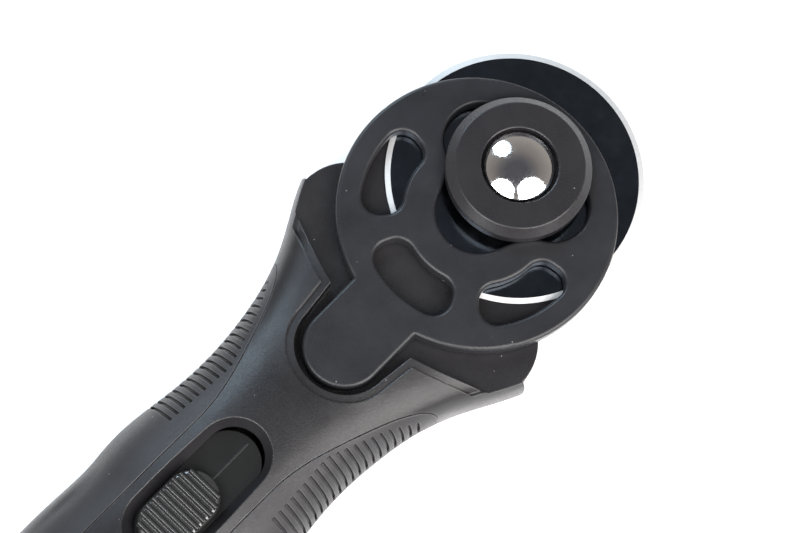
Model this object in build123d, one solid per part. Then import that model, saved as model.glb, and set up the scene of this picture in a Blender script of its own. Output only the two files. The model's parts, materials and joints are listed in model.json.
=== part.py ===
"""Rotary cutter with a sliding blade guard, modelled in millimetres.

Row frame: +X along the handle towards the blade, +Y to the left, +Z up and out of the guard side.
The origin is the middle of the footprint, on the surface that the cutter's back lies on.
Most stations are given as "u", the distance along the handle from the blade's axis (negative towards
the tail), and shift() moves what was built in u coordinates into the row frame.
"""

import os
from math import cos, pi, radians, sin

from build123d import *

# Driving dimensions ---------------------------------------------------------------------------
LENGTH = 180.0  # tail to blade edge
BLADE_D = 45.0  # the common large blade
BLADE_T = 0.3
BEVEL_W = 0.95  # ground edge, each side
BOLT_D = 8.0  # journal that the blade turns on
THREAD_D = 6.0
GUARD_R = 24.25
GUARD_T = 2.7
TRAVEL = 10.0  # guard retracted to guard concentric with the blade
COLLAR_R = 12.6
DOME_R = 6.0
HUB_R = 6.2
SEAT_R = 7.2  # rounded rear of the guard's central opening

AXIS_X = LENGTH / 2 - BLADE_D / 2  # blade axis in the row frame
TAIL_U = -(LENGTH - BLADE_D / 2)
PART_Z = 8.5  # plane where the two handle shells meet
DECK_Z = 14.4  # deck that the blade and guard lie over
WASHER_T = 0.3
BLADE_Z = DECK_Z + WASHER_T  # underside of the blade
GUARD_Z = BLADE_Z + BLADE_T + 0.3  # underside of the guard
GUARD_TOP = GUARD_Z + GUARD_T
GLIDE_Z = GUARD_TOP + 0.05  # underside of the ring between guard and collar
FLANGE_Z = GLIDE_Z + 0.25  # underside of the collar's flange
COLLAR_TOP = FLANGE_Z + 3.7
SEAT_Z = COLLAR_TOP - 2.4  # counterbore that the bolt's head sits in
DOME_H = 1.7

# Handle skin: u, half width, top height, bottom height, fullness of the top's arch (0.552 is an
# ellipse, 1 a box)
STATIONS = [
    (TAIL_U, 3.6, 10.7, 6.2, 0.62),
    (-156.3, 7.0, 12.5, 4.3, 0.64),
    (-152.5, 10.6, 14.4, 2.2, 0.66),
    (-146.0, 13.4, 16.3, 0.7, 0.66),
    (-135.0, 15.6, 18.7, -0.2, 0.66),
    (-120.0, 16.9, 20.7, -0.6, 0.66),
    (-104.0, 17.5, 21.7, -0.6, 0.66),
    (-86.0, 17.2, 22.0, -0.6, 0.66),
    (-70.0, 16.8, 21.4, -0.6, 0.67),
    (-58.0, 16.1, 20.4, -0.4, 0.70),
    (-48.0, 17.2, 19.5, 0.4, 0.76),
    (-39.0, 19.7, 18.8, 1.6, 0.84),
    (-34.5, 21.8, 18.6, 2.3, 0.87),
    (-30.0, 24.3, 18.4, 3.0, 0.90),
    (-15.0, 28.5, 18.2, 4.4, 0.92),
]
BACK_FULLNESS = 0.78

# Handle details, in u and y
WALL = 3.4
LEDGE = 0.5  # depth of the step round the guard's recess
LEDGE_W = 1.45
EAR_U, EAR_Y, EAR_R = -25.5, 15.4, 10.0
ARM_R = 12.0
PLATE_U, PLATE_R, PLATE_T = -11.5, 23.2, 3.6
NECK_HALF = 7.1
NECK_END = -50.0
RECESS_GAP = 1.4
CORNER_U, CORNER_Y = -36.5, 9.3  # inner corner of the recess, each side of the neck
GRIP_T = 1.5
GRIP_Y = 8.6
GRIP_TAIL = -137.0
SEAM = 0.12  # gap between a grip's edge and the shells
GROOVES = 20
GROOVE_PITCH = 1.53
GROOVE_W = 0.6
GROOVE_DEPTH = 0.65
FIRST_GROOVE = -43.1

# Thumb slide
SLOT_FRONT, SLOT_REAR = -64.4, -90.4  # opening in the skin at the shutter's level
SLOT_HALF = 5.0
SHUTTER_Z = 17.6
SHUTTER_T = 1.0
BUTTON_FRONT, BUTTON_REAR = -74.5, -89.9
BUTTON_HALF = 4.7
RIB_PITCH = 1.5
BAR_Z = 9.2
BAR_T = 2.4
BAR_HALF = 4.0
PEG_U = -43.5

HANG_U = -149.5
HANG_R = 2.6
SHORT_SCREWS = [(EAR_U, 13.5), (EAR_U, -13.5)]
LONG_SCREWS = [(-118.0, 0.0), (-137.0, 0.0)]
POST_TOPS = (18.6, 17.0)  # inside the roof over each long screw
SCREW_R = 1.25
HEAD_R = 2.4


# Helpers --------------------------------------------------------------------------------------
def shift(shape):
    """Moves a shape from u coordinates to the row frame."""
    return Pos(AXIS_X, 0, 0) * shape


def prism(sketch, low, high):
    """Extrudes a sketch of the XY plane between two heights."""
    return extrude(Pos(0, 0, low) * sketch, high - low)


def disc(u, y, radius, low, high):
    return prism(Pos(u, y) * Circle(radius), low, high)


def ring(outer, inner, low, high):
    return prism(Circle(outer) - Circle(inner), low, high)


def block(u0, u1, half, low, high):
    """A box between two stations, centred on the XZ plane."""
    return Pos((u0 + u1) / 2, 0, (low + high) / 2) * Box(u1 - u0, 2 * half, high - low)


def stadium(u0, u1, half):
    """A slot outline along X whose rounded ends touch the two stations."""
    return Pos((u0 + u1) / 2, 0) * SlotOverall(u1 - u0, 2 * half)


LEFT_SIDE = Pos(TAIL_U / 2, 50, 20) * Box(300, 100, 100)


def both_sides(left):
    """Completes a shape from its left half."""
    return left + mirror(left, Plane.XZ)


# Handle skin ----------------------------------------------------------------------------------
def arch(w, h, k):
    """Two curves from (w, 0) over (0, h) to (-w, 0)."""
    curve = Bezier((w, 0), (w, k * h), (k * w, h), (0, h))
    return curve + Bezier((0, h), (-k * w, h), (-w, k * h), (-w, 0))


def section(station, inset, upper, lower):
    """A section of the skin, or the half of it above or below the parting plane."""
    u, half_width, top, bottom, fullness = station
    w = half_width - inset
    over = arch(w, top - PART_Z - inset, fullness)
    under = arch(w, bottom - PART_Z + inset, BACK_FULLNESS)
    across = Line((-w, 0), (w, 0))
    outline = (over if upper else across) + (under if lower else across)
    plane = Plane(origin=(u, 0, PART_Z), x_dir=(0, 1, 0), z_dir=(1, 0, 0))
    return plane * make_face(outline)


def skin(inset, upper=True, lower=True, stations=STATIONS):
    return loft([section(s, inset, upper, lower) for s in stations])


def arm():
    """The arm in front of the skin's last section, and the plate behind the blade."""
    plate = disc(PLATE_U, 0, PLATE_R, DECK_Z - PLATE_T, DECK_Z)
    return prism(stadium(-30.0, ARM_R, ARM_R), PART_Z, DECK_Z) + plate


def head_plan():
    """Seen from above: everything behind the ears, and the rounded ears."""
    rear = Pos((TAIL_U + EAR_U) / 2 - 5, 0) * Rectangle(EAR_U - TAIL_U + 10, 70)
    ears = Pos(EAR_U, 0) * SlotCenterToCenter(2 * EAR_Y, 2 * EAR_R, rotation=90)
    return rear + ears


def recess_plan(extra=0.0):
    """The guard's recess: open to the front, round the neck, with an angled shoulder each side."""
    end_r = NECK_HALF + RECESS_GAP
    end_u = NECK_END + NECK_HALF
    far = 32.0
    outline = Polyline((far, far), (-27.0, far), (-28.6, 27.0))
    outline += ThreePointArc((-28.6, 27.0), (-33.6, 17.2), (CORNER_U, CORNER_Y))
    outline += Line((CORNER_U, CORNER_Y), (end_u, end_r))
    outline += ThreePointArc((end_u, end_r), (end_u - end_r, 0), (end_u, -end_r))
    outline += Line((end_u, -end_r), (CORNER_U, -CORNER_Y))
    outline += ThreePointArc((CORNER_U, -CORNER_Y), (-33.6, -17.2), (-28.6, -27.0))
    outline += Polyline((-28.6, -27.0), (-27.0, -far), (far, -far), (far, far))
    face = make_face(outline)
    return offset(face, extra, kind=Kind.ARC) if extra else face


def grip_plan(gap):
    """The left grip's area seen from above, grown by a gap along its edge."""
    tail_u = GRIP_TAIL - gap
    edge = GRIP_Y - gap
    tip_u = -38.9 + gap
    tail = Spline((tail_u, 24.0), (tail_u + 6, 13.6), (tail_u + 16, edge), tangents=[(0.3, -1), (1, 0)])
    inner = Line((tail_u + 16, edge), (-69.0, edge))
    boundary = [(-69.0, edge), (-60.0, 9.9 - gap), (-50.5, 12.9 - gap), (-43.4, 15.9 - gap)]
    boundary.append((-40.1 + gap, 18.4))
    front = Spline(*boundary, (tip_u, 24.0), tangents=[(1, 0), (0.1, 1)])
    outline = tail + inner + front + Polyline((tip_u, 24.0), (tip_u, 40.0), (tail_u, 40.0), (tail_u, 24.0))
    return make_face(outline)


def groove_reach(u):
    """How far a groove reaches in from the side: short at the front, longer behind."""
    grown = min(1.0, max(0.0, (FIRST_GROOVE - u) / 16.0))
    return 1.2 + 4.0 * grown


def half_width_at(u):
    """Half width of the skin at a station, straight between the listed sections."""
    for (u0, w0, *_), (u1, w1, *_) in zip(STATIONS, STATIONS[1:]):
        if u0 <= u <= u1:
            return w0 + (w1 - w0) * (u - u0) / (u1 - u0)
    raise ValueError(u)


# Handle parts ---------------------------------------------------------------------------------
def grip_blank():
    """The left grip before its grooves are cut: a skin of even thickness."""
    return (prism(grip_plan(0.0), 0, 30) & skin(0)) - skin(GRIP_T)


def grip_pocket():
    """The left grip's place in the shells, with the seam round it, carried out past the skin."""
    return prism(grip_plan(SEAM), -1, 30) - skin(GRIP_T)


def grooved(blank):
    """Cuts the finger grooves across the top and side of the left grip."""
    cutters = []
    low = PART_Z + 0.8
    for i in range(GROOVES):
        u = FIRST_GROOVE - i * GROOVE_PITCH
        inner = half_width_at(u) - groove_reach(u)
        cutters.append(Pos(u, inner + 10, low + 10) * Box(GROOVE_W, 20, 20))
    return blank - (Compound(cutters) - skin(GROOVE_DEPTH))


def screw_holes(spots, low):
    holes = []
    for u, y in spots:
        holes.append(disc(u, y, SCREW_R + 0.05, low, PART_Z + 4.6))
        holes.append(disc(u, y, HEAD_R + 0.15, low - 5, low + 1.5))
    return holes


def screws(spots, low):
    """Pan-head screws, one solid each, with a cross slot."""
    made = []
    for u, y in spots:
        head = disc(u, y, HEAD_R, low, low + 1.4)
        head = fillet(head.edges().group_by(Axis.Z)[0], 0.5)
        head -= Pos(u, y, low) * (Box(3.0, 0.6, 1.4) + Box(0.6, 3.0, 1.4))
        made.append(head + disc(u, y, SCREW_R, low + 1.4, PART_Z + 4.4))
    return Compound(made)


def cavity():
    """The hollow behind the neck recess, with the channel under the deck that the slide bar runs in."""
    inside = [s for s in STATIONS if -141 < s[0] < -57]
    hollow = skin(WALL, stations=inside)
    channel = block(-60.0, -29.0, BAR_HALF + 0.5, BAR_Z - 1.6, BAR_Z + BAR_T + 0.4)
    return hollow + channel


def thumb_opening():
    """The thumb slide's window: a slot with sloping sides, and the shutter's pocket under the skin."""
    top = SHUTTER_Z + SHUTTER_T
    rise = 4.4
    spread = 2.9
    low = Pos(0, 0, top) * stadium(SLOT_REAR, SLOT_FRONT, SLOT_HALF)
    high = Pos(0, 0, top + rise) * stadium(SLOT_REAR - spread, SLOT_FRONT + spread, SLOT_HALF + spread)
    window = loft([low, high])
    pocket = block(SLOT_REAR - 13.4, SLOT_FRONT + 9.6, SLOT_HALF + 0.9, SHUTTER_Z - 1.5, top + 0.15)
    return window + pocket


def handle_top(pocket):
    shell = both_sides(((skin(0, lower=False) & prism(head_plan(), 0, 40)) & LEFT_SIDE) - pocket)
    shell += arm()
    shell -= prism(recess_plan(LEDGE_W), DECK_Z + 0.4, 40) - skin(LEDGE, lower=False)
    shell -= prism(recess_plan(), DECK_Z, 40)
    shell -= cavity()
    shell -= thumb_opening()
    shell += posts()
    shell -= block(-48.0, -31.0, 2.6, BAR_Z, DECK_Z + 1)
    shell -= Pos(0, 0, DECK_Z) * Box(5.7, 5.7, 20)
    shell -= disc(HANG_U, 0, HANG_R, -5, 30)
    for hole in screw_holes(SHORT_SCREWS, 5.0) + screw_holes(LONG_SCREWS, 1.0):
        shell -= hole
    return shell


def posts():
    """Screw posts that hang from the top shell's roof inside the cavity."""
    made = [disc(u, y, 3.2, PART_Z, high) for (u, y), high in zip(LONG_SCREWS, POST_TOPS)]
    return made[0] + made[1]


def handle_back(pocket):
    shell = both_sides(((skin(0, upper=False) & prism(head_plan(), 0, 40)) & LEFT_SIDE) - pocket)
    shell -= cavity()
    for u, y in LONG_SCREWS:
        shell += disc(u, y, 3.9, 0.6, PART_Z)
    for u in (-82.0, -62.0):
        shell += block(u - 1.5, u + 1.5, 3.5, 2.0, 6.4)
    shell -= disc(0, 0, 13.0, -5, PART_Z)
    shell -= disc(HANG_U, 0, HANG_R, -5, 30)
    for hole in screw_holes(SHORT_SCREWS, 5.0) + screw_holes(LONG_SCREWS, 1.0):
        shell -= hole
    return shell


# Guard and slide ------------------------------------------------------------------------------
def window_plan(angle):
    """One kidney window: a sector of a ring about the guard's centre, with rounded ends."""
    inner_r, outer_r, half_angle = 12.9, 20.0, 27.0
    low, high = radians(angle - half_angle), radians(angle + half_angle)

    def spot(radius, turn):
        return (radius * cos(turn), radius * sin(turn))

    middle = radians(angle)
    outline = ThreePointArc(spot(outer_r, low), spot(outer_r, middle), spot(outer_r, high))
    outline += Line(spot(outer_r, high), spot(inner_r, high))
    outline += ThreePointArc(spot(inner_r, high), spot(inner_r, middle), spot(inner_r, low))
    outline += Line(spot(inner_r, low), spot(outer_r, low))
    face = make_face(outline)
    return fillet(face.vertices(), 3.1)


def cutout_plan():
    """The guard's central opening, about its centre: a round seat for the hub and two side lobes."""
    lobe_u, lobe_y, lobe_r = TRAVEL, 8.1, 6.6

    def on_lobe(angle):
        turn = radians(angle)
        return (lobe_u + lobe_r * cos(turn), lobe_y + lobe_r * sin(turn))

    seat = (SEAT_R * cos(radians(110)), SEAT_R * sin(radians(110)))
    away = radians(240)
    into = radians(200)
    waist = Spline(on_lobe(150), seat, tangents=[(cos(away), sin(away)), (cos(into), sin(into))])
    half = ThreePointArc(on_lobe(0), on_lobe(75), on_lobe(150)) + waist
    half += ThreePointArc(seat, (SEAT_R * cos(radians(145)), SEAT_R * sin(radians(145))), (-SEAT_R, 0))
    other = mirror(half, Plane.XZ)
    front = Line((lobe_u + lobe_r, -lobe_y), (lobe_u + lobe_r, lobe_y))
    return make_face(half.edges() + other.edges() + front.edges())


def blade_guard():
    plan = Circle(GUARD_R) + stadium(NECK_END + TRAVEL, -10.0, NECK_HALF)
    inner = plan.vertices().filter_by_position(Axis.X, -24, -22)
    plan = fillet(inner, 0.3)
    body = prism(plan, 0, GUARD_T)
    body -= prism(cutout_plan(), -1, GUARD_T + 1)
    for angle in (180 - 71, 180, 180 + 71):
        body -= prism(window_plan(angle), -1, GUARD_T + 1)
    body = fillet(body.edges().group_by(Axis.Z)[-1], 0.65)
    body = chamfer(body.edges().group_by(Axis.Z)[0], 0.25)
    body -= Pos(PEG_U + TRAVEL, 0, 0) * Box(5.2, 3.7, 2 * 1.5)
    return Pos(-TRAVEL, 0, GUARD_Z) * body


def guard_slider():
    """Bar inside the handle: a peg up to the guard, a stem up to the thumb button, and the shutter."""
    bar = block(-88.0, PEG_U + 3.5, BAR_HALF, BAR_Z, BAR_Z + BAR_T)
    for u in (-72.0, -72.0 - TRAVEL):
        bar -= Pos(u, 0, BAR_Z) * Rot(90, 0, 0) * Cylinder(1.2, 20)
    peg = block(PEG_U - 2.5, PEG_U + 2.5, 1.75, BAR_Z + BAR_T, GUARD_Z + 1.4)
    stem = block(BUTTON_REAR + 2.7, BUTTON_FRONT - 2.7, 2.2, BAR_Z, SHUTTER_Z)
    shutter_top = SHUTTER_Z + SHUTTER_T
    outline = stadium(SLOT_REAR - 11.4, SLOT_FRONT - 0.8, SLOT_HALF + 0.55)
    shutter = prism(outline, SHUTTER_Z, shutter_top)
    centre_rib = block(BUTTON_FRONT, SLOT_FRONT - 1.6, 0.12, shutter_top, shutter_top + 0.08)
    body = bar + peg + stem + shutter + centre_rib
    body -= disc(PEG_U, 0, 0.85, BAR_Z, GUARD_Z + 1.4)
    body -= disc(PEG_U, 0, 1.75, BAR_Z - 1, BAR_Z + 1.2)
    return body


def link_screw():
    """Small screw that ties the peg to the guard's neck from below."""
    head = disc(PEG_U, 0, 1.65, BAR_Z + 0.1, BAR_Z + 1.2)
    head -= Pos(PEG_U, 0, BAR_Z) * Box(2.2, 0.45, 1.0)
    return head + disc(PEG_U, 0, 0.8, BAR_Z + 1.2, GUARD_Z + 1.35)


def thumb_button():
    """Oval pad with ridges across it."""
    base_z = SHUTTER_Z + SHUTTER_T
    length = BUTTON_FRONT - BUTTON_REAR
    middle = (BUTTON_FRONT + BUTTON_REAR) / 2
    plan = stadium(BUTTON_REAR, BUTTON_FRONT, BUTTON_HALF)
    pad = prism(plan, base_z, base_z + 2.6)
    pad = fillet(pad.edges().group_by(Axis.Z)[-1], 0.9)
    ridges = []
    count = int((length - 2.4) / RIB_PITCH) + 1
    for i in range(count):
        u = middle + (i - (count - 1) / 2) * RIB_PITCH
        away = abs(u - middle) - (length / 2 - BUTTON_HALF)
        half = BUTTON_HALF - 0.35
        if away > 0:
            half = (BUTTON_HALF**2 - away**2) ** 0.5 - 0.35
        profile = Plane(origin=(u, 0, base_z + 2.4), x_dir=(1, 0, 0), z_dir=(0, -1, 0)) * Polygon(
            (-0.62, 0), (-0.18, 0.85), (0.18, 0.85), (0.62, 0), align=None
        )
        ridges.append(extrude(profile, half, both=True))
    for ridge in ridges:
        pad += ridge
    return pad


def detent_spring():
    """Leaf spring on the back shell, pressed flat by the slide bar: its bump clicks into two notches."""
    low = 6.4
    thick = 0.35
    path = [(-83.2, low), (-77.0, low), (-73.0, BAR_Z - 0.8), (-72.0, BAR_Z - 0.4), (-71.0, BAR_Z - 0.8)]
    path += [(-67.0, low), (-60.8, low)]
    back = [(u, z + thick) for u, z in reversed(path)]
    strip = Plane.XZ * Polygon(*path, *back, align=None)
    return extrude(strip, 2.5, both=True)


# Blade and clamp ------------------------------------------------------------------------------
def revolved(points):
    """Turns a closed outline, given as radius and height, about the blade's axis."""
    return revolve(Plane.XZ * Polygon(*points, align=None), Axis.Z)


def blade():
    r = BLADE_D / 2
    land = 0.03  # half thickness left at the ground edge
    mid = BLADE_Z + BLADE_T / 2
    bore = BOLT_D / 2 + 0.05
    return revolved(
        [
            (bore, BLADE_Z),
            (r - BEVEL_W, BLADE_Z),
            (r, mid - land),
            (r, mid + land),
            (r - BEVEL_W, BLADE_Z + BLADE_T),
            (bore, BLADE_Z + BLADE_T),
        ]
    )


def collar():
    bore = BOLT_D / 2 + 0.03
    slope = 1.45
    foot = BLADE_Z + BLADE_T + 0.05
    body = revolved(
        [
            (bore, foot),
            (HUB_R, foot),
            (HUB_R, FLANGE_Z),
            (COLLAR_R, FLANGE_Z),
            (COLLAR_R, COLLAR_TOP - 1.5),
            (COLLAR_R - slope, COLLAR_TOP),
            (DOME_R + 0.65, COLLAR_TOP),
            (DOME_R + 0.65, SEAT_Z),
            (bore, SEAT_Z),
        ]
    )
    ring_edges = body.edges().filter_by(GeomType.CIRCLE)
    soft = [e for e in ring_edges if e.radius > DOME_R + 0.5 and e.arc_center.Z > FLANGE_Z + 1]
    soft = [e for e in soft if e.arc_center.Z > SEAT_Z + 1 or e.radius > COLLAR_R - 0.1]
    return fillet(soft, 0.18)


def pivot_bolt():
    """Domed head, round journal, square neck held by the arm, and threaded end."""
    rim = SEAT_Z + 1.5
    flat = 0.3  # gate mark at the apex
    shoulder = (DOME_R * 0.52, rim + DOME_H * 0.76)
    profile = Polyline((flat, rim + DOME_H), (0, rim + DOME_H), (0, SEAT_Z), (DOME_R, SEAT_Z), (DOME_R, rim))
    profile += ThreePointArc((DOME_R, rim), shoulder, (flat, rim + DOME_H))
    head = revolve(Plane.XZ * make_face(profile), Axis.Z)
    journal = disc(0, 0, BOLT_D / 2, DECK_Z, SEAT_Z)
    neck = Pos(0, 0, (PART_Z + DECK_Z) / 2) * Box(5.6, 5.6, DECK_Z - PART_Z)
    thread = disc(0, 0, THREAD_D / 2 - 0.05, 2.2, PART_Z)
    thread = chamfer(thread.edges().group_by(Axis.Z)[0], 0.5)
    return head + journal + neck + thread


def wave_washer():
    """Curved spring washer: a ring cut from a thin curved sheet."""
    bend = 40.0
    sheet = Rot(90, 0, 0) * (Cylinder(bend, 40) - Cylinder(bend - 0.4, 40))
    return (Pos(0, 0, PART_Z - bend) * sheet) & ring(7.4, THREAD_D / 2 + 0.2, PART_Z - 2, PART_Z + 1)


WASHER_Z = PART_Z - 1.72
NUT_TOP = WASHER_Z
NUT_LOW = 1.2


def nut_knob():
    """Finger nut: a scalloped disc moulded round a hexagonal insert."""
    body = disc(0, 0, 11.0, NUT_LOW, NUT_TOP - 1.0) + disc(0, 0, 8.0, NUT_TOP - 1.0, NUT_TOP)
    for i in range(12):
        turn = 2 * pi * i / 12
        body -= disc(12.0 * cos(turn), 12.0 * sin(turn), 1.9, NUT_LOW - 1, NUT_TOP + 1)
    body = fillet(body.edges().group_by(Axis.Z)[0], 0.6)
    return body - prism(RegularPolygon(5.6, 6), NUT_LOW - 1, NUT_TOP + 1)


def nut_insert():
    return prism(RegularPolygon(5.6, 6) - Circle(THREAD_D / 2), NUT_LOW + 0.6, NUT_TOP)


# Assembly -------------------------------------------------------------------------------------
def build():
    pocket = grip_pocket()
    left = grooved(grip_blank())
    return {
        "handle_top_shell": handle_top(pocket),
        "handle_back_shell": handle_back(pocket),
        "grip_left": left,
        "grip_right": mirror(left, Plane.XZ),
        "blade_guard": blade_guard(),
        "guard_slider": guard_slider(),
        "detent_spring": detent_spring(),
        "link_screw": link_screw(),
        "thumb_button": thumb_button(),
        "blade": blade(),
        "blade_washer": ring(HUB_R, BOLT_D / 2 + 0.1, DECK_Z, BLADE_Z),
        "glide_ring": ring(COLLAR_R - 0.6, HUB_R + 0.1, GLIDE_Z, FLANGE_Z),
        "collar": collar(),
        "pivot_bolt": pivot_bolt(),
        "wave_washer": wave_washer(),
        "flat_washer": ring(7.8, THREAD_D / 2 + 0.1, WASHER_Z, WASHER_Z + 0.6),
        "nut_knob": nut_knob(),
        "nut_insert": nut_insert(),
        "short_case_screws": screws(SHORT_SCREWS, 5.1),
        "long_case_screws": screws(LONG_SCREWS, 1.1),
    }


os.makedirs("parts", exist_ok=True)
for name, shape in build().items():
    export_step(shift(shape), f"parts/{name}.step")
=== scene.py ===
"""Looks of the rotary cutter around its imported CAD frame: materials, floor, light and camera."""

import json
import math

import bpy
from mathutils import Matrix, Vector


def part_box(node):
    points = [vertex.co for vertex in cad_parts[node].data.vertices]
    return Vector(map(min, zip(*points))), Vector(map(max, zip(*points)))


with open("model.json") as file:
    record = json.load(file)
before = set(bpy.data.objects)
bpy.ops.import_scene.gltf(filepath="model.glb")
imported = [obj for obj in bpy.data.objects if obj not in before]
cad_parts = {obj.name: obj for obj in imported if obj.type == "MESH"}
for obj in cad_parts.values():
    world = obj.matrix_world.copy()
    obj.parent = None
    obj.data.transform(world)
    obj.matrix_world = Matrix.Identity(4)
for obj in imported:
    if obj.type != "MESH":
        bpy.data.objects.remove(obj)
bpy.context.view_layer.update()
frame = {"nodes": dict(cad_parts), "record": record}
nodes = frame["nodes"]
MM = 0.001
BEVEL_W = 0.95 * MM  # width of the blade's ground edge
COOL = (0.96, 0.97, 1.12)
WARM = (1.03, 0.97, 1.08)


# Node helpers ---------------------------------------------------------------------------------
class Mat:
    """A material with a Principled shader and short calls that add and link nodes."""

    def __init__(self, name, **sockets):
        self.material = bpy.data.materials.new(name)
        self.material.use_nodes = True
        self.tree = self.material.node_tree
        self.shader = self.tree.nodes["Principled BSDF"]
        self.place = self.add("ShaderNodeTexCoord").outputs["Object"]
        for key, value in sockets.items():
            self.shader.inputs[key.replace("_", " ")].default_value = value

    def add(self, kind, **props):
        node = self.tree.nodes.new(kind)
        for key, value in props.items():
            setattr(node, key, value)
        return node

    def link(self, source, target):
        self.tree.links.new(source, target)

    def feed(self, socket, value):
        if isinstance(value, bpy.types.NodeSocket):
            self.link(value, socket)
        else:
            socket.default_value = value

    def stretched(self, scale, vector=None):
        """Coordinates scaled along each axis, so that a texture made on them is drawn out."""
        node = self.add("ShaderNodeMapping")
        node.inputs["Scale"].default_value = scale
        self.link(vector or self.place, node.inputs["Vector"])
        return node.outputs["Vector"]

    def noise(self, size, detail=2.0, rough=0.5, vector=None):
        """Noise whose features are about this size, in millimetres."""
        node = self.add("ShaderNodeTexNoise")
        node.inputs["Scale"].default_value = 1.0 / (size * MM)
        node.inputs["Detail"].default_value = detail
        node.inputs["Roughness"].default_value = rough
        self.link(vector or self.place, node.inputs["Vector"])
        return node.outputs["Fac"]

    def voronoi(self, size, feature="F1"):
        node = self.add("ShaderNodeTexVoronoi", feature=feature)
        node.inputs["Scale"].default_value = 1.0 / (size * MM)
        self.link(self.place, node.inputs["Vector"])
        return node.outputs["Distance"]

    def spread(self, value, low, high, start=0.0, end=1.0):
        node = self.add("ShaderNodeMapRange")
        node.inputs["From Min"].default_value = start
        node.inputs["From Max"].default_value = end
        node.inputs["To Min"].default_value = low
        node.inputs["To Max"].default_value = high
        self.link(value, node.inputs["Value"])
        return node.outputs["Result"]

    def mix(self, factor, a, b):
        node = self.add("ShaderNodeMix", data_type="RGBA")
        self.feed(node.inputs[0], factor)
        self.feed(node.inputs[6], a)
        self.feed(node.inputs[7], b)
        return node.outputs[2]

    def math(self, operation, a, b=0.0):
        node = self.add("ShaderNodeMath", operation=operation)
        self.feed(node.inputs[0], a)
        self.feed(node.inputs[1], b)
        return node.outputs[0]

    def bump(self, height, distance, strength=1.0, normal=None):
        node = self.add("ShaderNodeBump")
        node.inputs["Distance"].default_value = distance * MM
        node.inputs["Strength"].default_value = strength
        self.link(height, node.inputs["Height"])
        if normal is not None:
            self.link(normal, node.inputs["Normal"])
        return node.outputs["Normal"]

    def round_edges(self, radius):
        """Shading of a small moulding radius, in millimetres, on every sharp edge."""
        node = self.add("ShaderNodeBevel", samples=6)
        node.inputs["Radius"].default_value = radius * MM
        return node.outputs["Normal"]

    def edge_mask(self):
        """Nought on flat stretches, rising where a wide rounding bends the shading away from the face."""
        wide = self.add("ShaderNodeBevel", samples=6)
        wide.inputs["Radius"].default_value = 0.45 * MM
        face = self.add("ShaderNodeNewGeometry").outputs["Normal"]
        bend = self.add("ShaderNodeVectorMath", operation="DOT_PRODUCT")
        self.link(wide.outputs["Normal"], bend.inputs[0])
        self.link(face, bend.inputs[1])
        return self.math("SUBTRACT", 1.0, bend.outputs["Value"])

    def set(self, socket, value):
        self.feed(self.shader.inputs[socket], value)
        return self


def grey(level, tint=(1.0, 1.0, 1.0)):
    return (level * tint[0], level * tint[1], level * tint[2], 1.0)


def plastic(name, dark, light, rough, grain, depth, tint=(1, 1, 1), edge=0.3, gloss=0.3):
    """Black moulded plastic: even grain, soft blotches in colour and gloss, glossier edges, dust specks."""
    m = Mat(name, Metallic=0.0, IOR=1.48)
    cloud = m.noise(9.0, 3.0, 0.6)
    fine = m.noise(grain, 2.0, 0.6)
    speck = m.spread(m.voronoi(3.4), 1.0, 0.0, 0.016, 0.034)
    body = m.mix(cloud, grey(dark, tint), grey(light, tint))
    m.set("Base Color", m.mix(m.math("MULTIPLY", speck, 0.6), body, grey(0.3)))
    wear = m.math("MULTIPLY", m.math("SUBTRACT", cloud, 0.5), 0.24)
    m.set("Roughness", m.math("ADD", m.spread(fine, rough[0], rough[1], 0.3, 0.7), wear))
    edges = m.edge_mask()
    m.set("Specular IOR Level", m.spread(edges, gloss, min(1.0, gloss * 2.6), 0.0, 0.25))
    m.set("Normal", m.bump(fine, depth, normal=m.round_edges(edge)))
    return m.material


def steel(name, level, rough, tint=(1, 1, 1), lay=(0.15, 3.0, 3.0), depth=0.002):
    """Plain metal with fine marks, which the default lay draws out along X."""
    m = Mat(name, Metallic=1.0)
    marks = m.noise(1.0, 3.0, 0.6, m.stretched(lay))
    spots = m.noise(2.5, 4.0, 0.6)
    m.set("Base Color", m.mix(spots, grey(level * 0.85, tint), grey(level, tint)))
    m.set("Roughness", m.spread(marks, rough[0], rough[1], 0.3, 0.7))
    m.set("Normal", m.bump(marks, depth))
    return m.material


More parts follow.
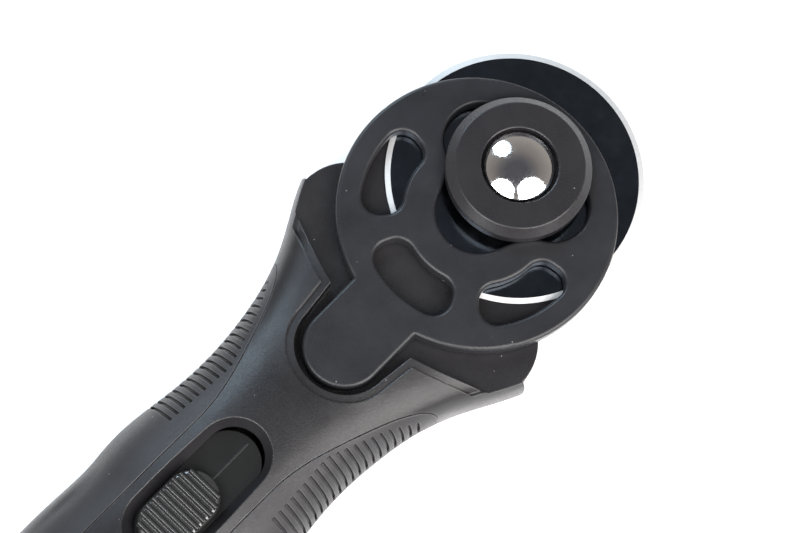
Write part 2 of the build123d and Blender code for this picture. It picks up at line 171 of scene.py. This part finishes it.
def blade_steel():
    """Lapped steel, near black where it mirrors the dark room, with a bright ground edge; the face's base
    colour is itself painted near black and navy, a painted dark reflection.
    """
    m = Mat("blade_steel", Metallic=1.0)
    low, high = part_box("blade")
    centre = ((low[0] + high[0]) / 2, (low[1] + high[1]) / 2)
    radius_out = (high[0] - low[0]) / 2
    split = m.add("ShaderNodeSeparateXYZ")
    m.link(m.place, split.inputs[0])
    x = m.math("SUBTRACT", split.outputs["X"], centre[0])
    y = m.math("SUBTRACT", split.outputs["Y"], centre[1])
    radius = m.math("SQRT", m.math("ADD", m.math("MULTIPLY", x, x), m.math("MULTIPLY", y, y)))
    start = radius_out - BEVEL_W
    bevel = m.spread(radius, 0.0, 1.0, start - 0.02 * MM, start + 0.02 * MM)
    turn = m.math("ARCTAN2", y, x)
    polar = m.add("ShaderNodeCombineXYZ")
    m.feed(polar.inputs[0], m.math("MULTIPLY", turn, 0.05))
    m.feed(polar.inputs[1], radius)
    grind = m.noise(1.0, 2.0, 0.6, m.stretched((9.0, 0.4, 1.0), polar.outputs[0]))
    smear = m.noise(5.0, 4.0, 0.65)
    dust = m.spread(m.voronoi(2.2), 1.0, 0.0, 0.0, 0.035)
    # painted reflection: the lapped face's base colour is near black and navy, standing in for the dark
    # room mirrored in it rather than the steel's own colour
    dark = m.mix(smear, (0.11, 0.13, 0.155, 1.0), (0.15, 0.175, 0.205, 1.0))
    dark = m.mix(m.math("MULTIPLY", dust, 0.35), dark, grey(0.4))
    bright = m.mix(grind, grey(0.42), grey(0.7))
    m.set("Base Color", m.mix(bevel, dark, bright))
    satin = m.spread(smear, 0.10, 0.2, 0.3, 0.7)
    ground = m.spread(grind, 0.5, 0.62, 0.3, 0.7)
    rough = m.add("ShaderNodeMix", data_type="FLOAT")
    m.feed(rough.inputs[0], bevel)
    m.feed(rough.inputs[2], satin)
    m.feed(rough.inputs[3], ground)
    m.set("Roughness", rough.outputs[0])
    m.set("Normal", m.bump(grind, 0.0012))
    return m.material


# Materials ------------------------------------------------------------------------------------
MATERIALS = {
    "handle_plastic": plastic("soft_touch_black", 0.007, 0.012, (0.3, 0.44), 0.3, 0.02, WARM, gloss=0.32),
    "grip_rubber": plastic("grip_rubber_black", 0.010, 0.016, (0.42, 0.56), 0.34, 0.02, WARM, gloss=0.33),
    "guard_plastic": plastic("guard_black", 0.009, 0.014, (0.3, 0.42), 0.22, 0.012, COOL),
    "collar_plastic": plastic("collar_black", 0.010, 0.014, (0.26, 0.36), 0.22, 0.010, WARM, gloss=0.32),
    "button_plastic": plastic("button_black", 0.012, 0.016, (0.2, 0.3), 0.2, 0.006, edge=0.15, gloss=1.0),
    "slider_plastic": plastic("slider_black", 0.005, 0.007, (0.36, 0.46), 0.2, 0.004, gloss=0.15),
    "blade_steel": blade_steel(),
    "bolt_chrome": steel("bolt_chrome", 0.9, (0.03, 0.12), (1, 1, 1.02), lay=(1.5, 1.5, 1.5), depth=0.006),
    "spring_steel": steel("spring_steel", 0.45, (0.25, 0.4)),
    "washer_steel": steel("washer_steel", 0.6, (0.25, 0.4)),
    "screw_steel": steel("screw_steel", 0.3, (0.3, 0.45)),
    "insert_brass": steel("insert_brass", 0.7, (0.25, 0.4), (1.0, 0.8, 0.42)),
}
SLOTS = {entry["node"]: entry["material_slot"] for entry in frame["record"]["subparts"]}

for name, node in nodes.items():
    material = MATERIALS[SLOTS[name]]
    for index in range(len(node.material_slots)):
        node.material_slots[index].material = material

# Stage ----------------------------------------------------------------------------------------
bpy.ops.mesh.primitive_plane_add(size=4.0, location=(0, 0, -0.0002))
floor = bpy.context.object
floor.name = "floor"
paper = Mat("pale_paper", Roughness=0.9)
paper.set("Base Color", paper.mix(paper.noise(60.0, 2.0), grey(0.92), grey(0.94)))
floor.data.materials.append(paper.material)


def area_light(name, place, aim, size, power, colour=(1, 1, 1)):
    data = bpy.data.lights.new(name, "AREA")
    data.shape = "ELLIPSE"
    data.size, data.size_y = size
    data.energy = power
    data.color = colour
    lamp = bpy.data.objects.new(name, data)
    bpy.context.collection.objects.link(lamp)
    lamp.location = place
    lamp.rotation_euler = (Vector(place) - Vector(aim)).to_track_quat("Z", "Y").to_euler()
    return lamp


AIM = (0.03, 0, 0.01)
area_light("tail_softbox", (-0.44, -0.03, 0.5), AIM, (0.56, 0.7), 9.5, (0.97, 0.98, 1.0))
area_light("right_softbox", (0.03, -0.46, 0.47), AIM, (0.58, 0.7), 10.0, (1.0, 0.975, 0.95))
area_light("left_window", (0.26, 0.5, 0.42), AIM, (0.3, 0.4), 3.6, (0.66, 0.84, 1.0))

# A dim room: dark overhead, pale towards the horizon
world = bpy.data.worlds.new("studio")
bpy.context.scene.world = world
world.use_nodes = True
sky = world.node_tree
spot = sky.nodes.new("ShaderNodeTexCoord")
split = sky.nodes.new("ShaderNodeSeparateXYZ")
ramp = sky.nodes.new("ShaderNodeValToRGB")
sky.links.new(spot.outputs["Generated"], split.inputs["Vector"])
sky.links.new(split.outputs["Z"], ramp.inputs["Fac"])
sky.links.new(ramp.outputs["Color"], sky.nodes["Background"].inputs["Color"])
bands = (
    (0.0, (0.4, 0.39, 0.38)),
    (0.4, (0.34, 0.31, 0.28)),
    (0.75, (0.22, 0.2, 0.185)),
    (0.95, (0.09, 0.09, 0.1)),
)
while len(ramp.color_ramp.elements) < len(bands):
    ramp.color_ramp.elements.new(0.5)
for stop, (height, colour) in zip(ramp.color_ramp.elements, bands):
    stop.position = height
    stop.color = (*colour, 1.0)
bpy.context.scene.view_settings.view_transform = "Standard"

# Camera ---------------------------------------------------------------------------------------
TILT = math.radians(15.5)  # off the vertical
LEAN = Vector((-0.897, -0.442, 0.0)).normalized()  # the side it stands off to
ROLL = math.radians(-17.72)
AWAY = 0.4422
TARGET = Vector((0.04191, 0.0032, 0.0150))

back = LEAN * math.sin(TILT) + Vector((0, 0, math.cos(TILT)))
down = LEAN * math.cos(TILT) - Vector((0, 0, math.sin(TILT)))
side = Vector((0, 0, 1)).cross(LEAN)
right = side * math.cos(ROLL) + down * math.sin(ROLL)
up = back.cross(right)
lens = bpy.data.cameras.new("camera")
lens.sensor_width = 36.0
lens.lens = 117.0
lens.clip_start = 0.01
camera = bpy.data.objects.new("camera", lens)
bpy.context.collection.objects.link(camera)
turn = Matrix((right, up, back)).transposed().to_4x4()
camera.matrix_world = Matrix.Translation(TARGET + back * AWAY) @ turn
bpy.context.scene.camera = camera
